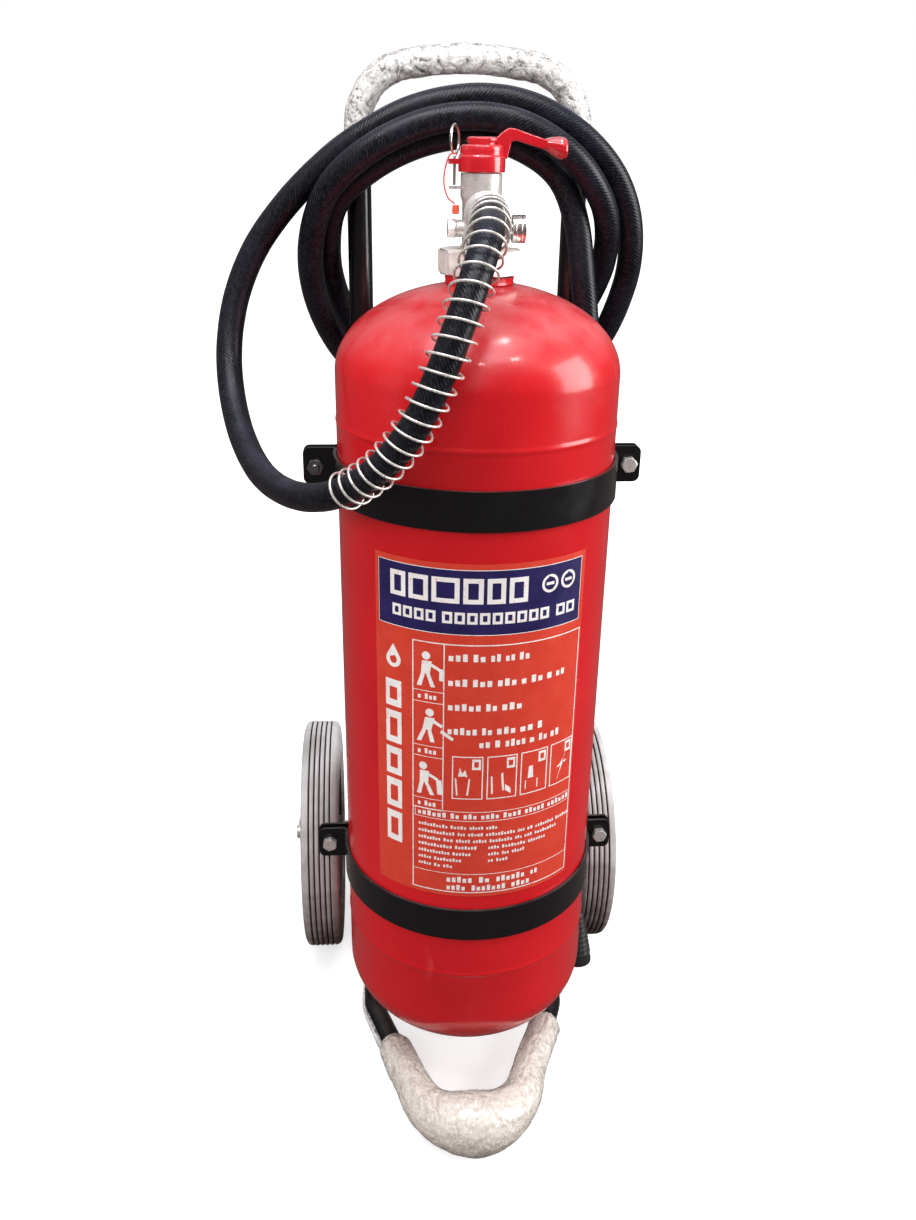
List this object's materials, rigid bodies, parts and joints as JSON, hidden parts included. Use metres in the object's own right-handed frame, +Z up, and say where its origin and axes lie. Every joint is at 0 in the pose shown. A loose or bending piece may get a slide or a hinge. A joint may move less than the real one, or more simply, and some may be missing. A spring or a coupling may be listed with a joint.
{
  "type": "wheeled fire extinguisher",
  "caption": "Upright red pressure vessel with a turn valve, strapped to a two-wheeled black tube trolley with a foot loop, a grab arch and a long coiled rubber discharge hose.",
  "frame": {"origin": "centre of the bounding box of everything but the hose and its fittings, on the floor", "axes": "+Z up; the front, with the label and the hose outlet, faces -Y and the wheels are at the back, +Y; the lever points to +X at rest"},
  "size_m": [0.4154, 0.512, 0.9808],
  "materials": {
    "red_paint": "gloss enamel",
    "red_cap": "gloss coating",
    "label_foil": "satin foil",
    "powder": "matte powder",
    "black_rubber": "fine cloth texture",
    "solid_tyre": "dusty matte",
    "clear_film": "crinkled gloss",
    "plated_brass": "nickel plated",
    "bright_steel": "polished",
    "steel": "satin",
    "clear_lens": "clear",
    "black_paint_small": "satin",
    "seal_plastic": "satin",
    "tube_aluminium": "mill",
    "black_plastic": "satin",
    "bush_plastic": "satin",
    "zinc_steel": "zinc plated",
    "black_paint": "gloss enamel"
  },
  "bodies": {
    "frame": {"axle": "zinc_steel", "cylinder_shell": "red_paint", "dip_tube": "tube_aluminium", "discharge_nozzle": "black_plastic", "foot_loop": "black_paint", "foot_wrap": "clear_film", "gauge_case": "bright_steel", "gauge_lens": "clear_lens", "handle_arch": "black_paint", "handle_wrap": "clear_film", "hose": "black_rubber", "hose_ferrule": "steel", "hose_guard_spring": "bright_steel", "label": "label_foil", "left_axle_bracket": "black_paint", "left_cotter_pin": "zinc_steel", "left_hose_hook": "black_paint", "left_spacer": "zinc_steel", "left_upright": "black_paint", "lower_cross_bar": "black_paint", "lower_front_band": "black_paint", "lower_left_bolt": "zinc_steel", "lower_left_nut": "zinc_steel", "lower_rear_saddle": "black_paint", "lower_right_bolt": "zinc_steel", "lower_right_nut": "zinc_steel", "neck_collar": "red_paint", "neck_nut": "plated_brass", "neck_seal": "black_rubber", "nozzle_clip": "black_paint", "outlet_fitting": "steel", "powder_charge": "powder", "relief_plug": "plated_brass", "right_axle_bracket": "black_paint", "right_cotter_pin": "zinc_steel", "right_hose_hook": "black_paint", "right_spacer": "zinc_steel", "right_upright": "black_paint", "upper_cross_bar": "black_paint", "upper_front_band": "black_paint", "upper_left_bolt": "zinc_steel", "upper_left_nut": "zinc_steel", "upper_rear_saddle": "black_paint", "upper_right_bolt": "zinc_steel", "upper_right_nut": "zinc_steel", "valve_body": "plated_brass", "valve_spring": "steel"},
    "left_wheel": {"left_tyre": "solid_tyre", "left_rim": "black_paint", "left_bush": "bush_plastic"},
    "right_wheel": {"right_tyre": "solid_tyre", "right_rim": "black_paint", "right_bush": "bush_plastic"},
    "valve_handle": {"valve_handle": "red_cap"},
    "safety_pin": {"safety_pin": "bright_steel", "seal_tie": "seal_plastic", "seal_tag": "seal_plastic"},
    "valve_stem": {"valve_stem": "steel", "stem_seal": "black_rubber"},
    "gauge_needle": {"gauge_needle": "black_paint_small"}
  },
  "joints": [
    {"name": "left_wheel_spin", "type": "hinge", "parent": "frame", "child": "left_wheel", "pos_m": [-0.155, 0.123, 0.133], "axis": [1, 0, 0], "continuous": true},
    {"name": "right_wheel_spin", "type": "hinge", "parent": "frame", "child": "right_wheel", "pos_m": [0.155, 0.123, 0.133], "axis": [1, 0, 0], "continuous": true},
    {"name": "valve_handle_turn", "type": "hinge", "parent": "frame", "child": "valve_handle", "pos_m": [0, -0.067, 0.885], "axis": [0, 0, -1], "range_deg": [0, 90]},
    {"name": "safety_pin_pull", "type": "slide", "parent": "valve_handle", "child": "safety_pin", "axis": [0, 0, 1], "range_m": [0, 0.035]},
    {"name": "valve_stem_press", "type": "slide", "parent": "frame", "child": "valve_stem", "axis": [0, 0, -1], "range_m": [0, 0.005], "deforming": ["valve_spring"]},
    {"name": "gauge_needle_turn", "type": "hinge", "parent": "frame", "child": "gauge_needle", "pos_m": [0.032, -0.067, 0.838], "axis": [1, 0, 0], "range_deg": [-110, 110]}
  ],
  "couplings": [
    {"joint": "valve_stem_press", "follows": "valve_handle_turn", "m_per_rad": 0.003183}
  ]
}
